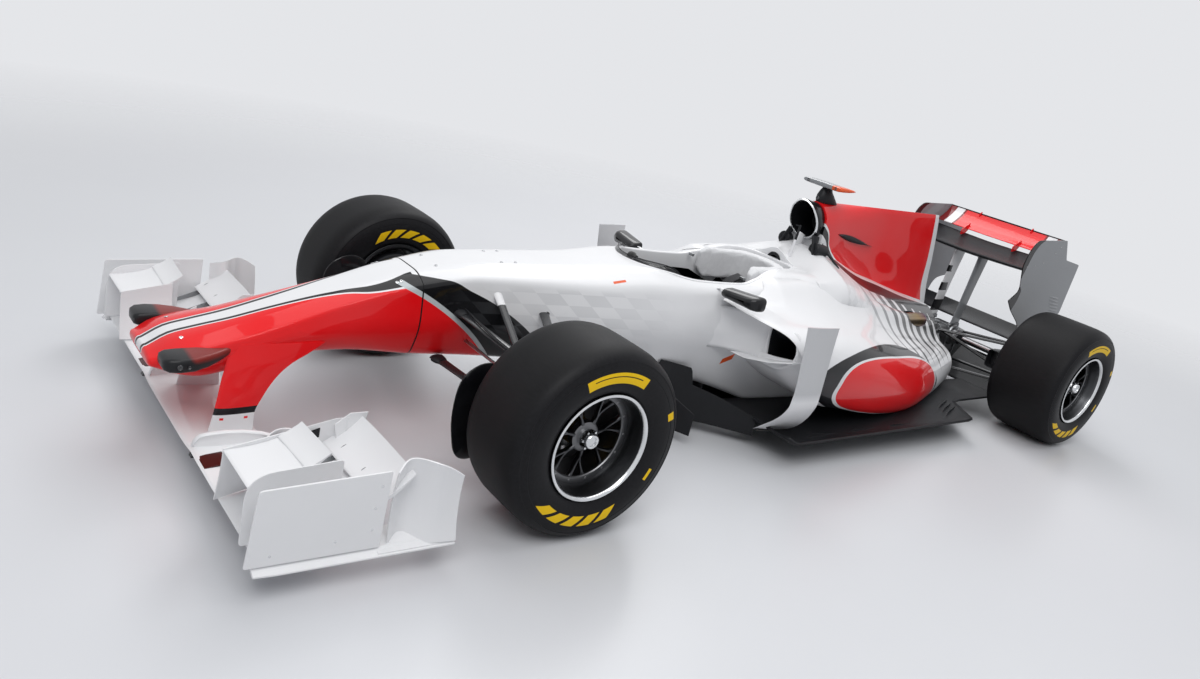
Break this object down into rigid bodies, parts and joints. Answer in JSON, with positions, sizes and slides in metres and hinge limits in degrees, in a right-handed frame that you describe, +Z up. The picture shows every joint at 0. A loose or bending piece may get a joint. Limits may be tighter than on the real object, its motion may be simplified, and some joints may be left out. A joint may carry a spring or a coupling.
{
  "type": "open wheel racing car",
  "caption": "Single-seat open wheel racing car with winged nose, hollow tub, sidepods, finned engine cover, rear wing, steered front wheels and free-rolling slick tyres.",
  "frame": {"origin": "on the ground, midway along the length on the centre line, which is the bounding box's bottom centre", "axes": "+Y rearwards along the car, +X to the car's left, +Z up; the nose points along -Y"},
  "size_m": [1.8, 4.96, 1.0991],
  "materials": {
    "white_paint": "glossy white lacquer with printed colour panels",
    "red_paint": "glossy red lacquer",
    "carbon": "bare woven carbon, satin",
    "grey_paint": "satin grey lacquer",
    "tyre": "slick racing rubber",
    "rim_metal": "dark anodised magnesium with a bright flange",
    "metal": "cast alloy block",
    "exhaust_metal": "heat-tinted steel",
    "screen": "dark translucent",
    "padding": "matt padded cover",
    "steel": "satin steel"
  },
  "bodies": {
    "chassis": {"monocoque": "white_paint", "nose_cone": "white_paint", "front_wing_pylons": "white_paint", "nose_cameras": "grey_paint", "front_wing_main_plane": "carbon", "front_wing_flaps": "carbon", "front_wing_endplates": "white_paint", "front_wing_cascades": "white_paint", "engine_cover": "white_paint", "roll_hoop": "white_paint", "sidepod_left": "white_paint", "sidepod_right": "white_paint", "onboard_camera": "grey_paint", "headrest": "padding", "windscreen": "screen", "mirrors": "carbon", "floor": "carbon", "plank": "carbon", "diffuser": "carbon", "bargeboards": "carbon", "sidepod_vanes": "white_paint", "rear_wing_main_plane": "carbon", "rear_wing_flap": "red_paint", "rear_wing_endplates": "grey_paint", "beam_wing": "carbon", "rear_wing_pylons": "white_paint", "engine": "metal", "gearbox": "metal", "exhausts": "exhaust_metal", "front_suspension": "carbon", "rear_suspension": "carbon", "rear_uprights": "steel", "seat": "carbon"},
    "steering_wheel": {"steering_wheel": "carbon"},
    "upright_front_left": {"front_upright_left": "carbon"},
    "tie_rod_left": {"tie_rod_left": "steel"},
    "wheel_front_left": {"rim_front_left": "rim_metal", "tyre_front_left": "tyre"},
    "wheel_rear_left": {"rim_rear_left": "rim_metal", "tyre_rear_left": "tyre", "driveshaft_left": "steel"},
    "upright_front_right": {"front_upright_right": "carbon"},
    "tie_rod_right": {"tie_rod_right": "steel"},
    "wheel_front_right": {"rim_front_right": "rim_metal", "tyre_front_right": "tyre"},
    "wheel_rear_right": {"rim_rear_right": "rim_metal", "tyre_rear_right": "tyre", "driveshaft_right": "steel"}
  },
  "joints": [
    {"name": "steering_column", "type": "hinge", "parent": "chassis", "child": "steering_wheel", "pos_m": [0, -0.725, 0.575], "axis": [0, 0.9903, 0.1392], "range_deg": [-140, 140]},
    {"name": "steer_left", "type": "hinge", "parent": "chassis", "child": "upright_front_left", "pos_m": [0.695, -1.365, 0.33], "axis": [-0.0872, 0, 0.9962], "range_deg": [-14, 14]},
    {"name": "tie_rod_left_eye", "type": "hinge", "parent": "upright_front_left", "child": "tie_rod_left", "pos_m": [0.68955, -1.45, 0.39226], "axis": [-0.0872, 0, 0.9962], "range_deg": [-14, 14]},
    {"name": "wheel_front_left_spin", "type": "hinge", "parent": "upright_front_left", "child": "wheel_front_left", "pos_m": [0.7425, -1.365, 0.33], "axis": [1, 0, 0], "continuous": true},
    {"name": "wheel_rear_left_spin", "type": "hinge", "parent": "chassis", "child": "wheel_rear_left", "pos_m": [0.7125, 1.905, 0.33], "axis": [1, 0, 0], "continuous": true},
    {"name": "steer_right", "type": "hinge", "parent": "chassis", "child": "upright_front_right", "pos_m": [-0.695, -1.365, 0.33], "axis": [0.0872, 0, 0.9962], "range_deg": [-14, 14]},
    {"name": "tie_rod_right_eye", "type": "hinge", "parent": "upright_front_right", "child": "tie_rod_right", "pos_m": [-0.68955, -1.45, 0.39226], "axis": [0.0872, 0, 0.9962], "range_deg": [-14, 14]},
    {"name": "wheel_front_right_spin", "type": "hinge", "parent": "upright_front_right", "child": "wheel_front_right", "pos_m": [-0.7425, -1.365, 0.33], "axis": [1, 0, 0], "continuous": true},
    {"name": "wheel_rear_right_spin", "type": "hinge", "parent": "chassis", "child": "wheel_rear_right", "pos_m": [-0.7125, 1.905, 0.33], "axis": [1, 0, 0], "continuous": true}
  ],
  "couplings": [
    {"joint": "steer_left", "follows": "steering_column", "ratio": 0.1},
    {"joint": "steer_right", "follows": "steering_column", "ratio": 0.1},
    {"joint": "tie_rod_left_eye", "follows": "steering_column", "ratio": -0.1},
    {"joint": "tie_rod_right_eye", "follows": "steering_column", "ratio": -0.1}
  ]
}
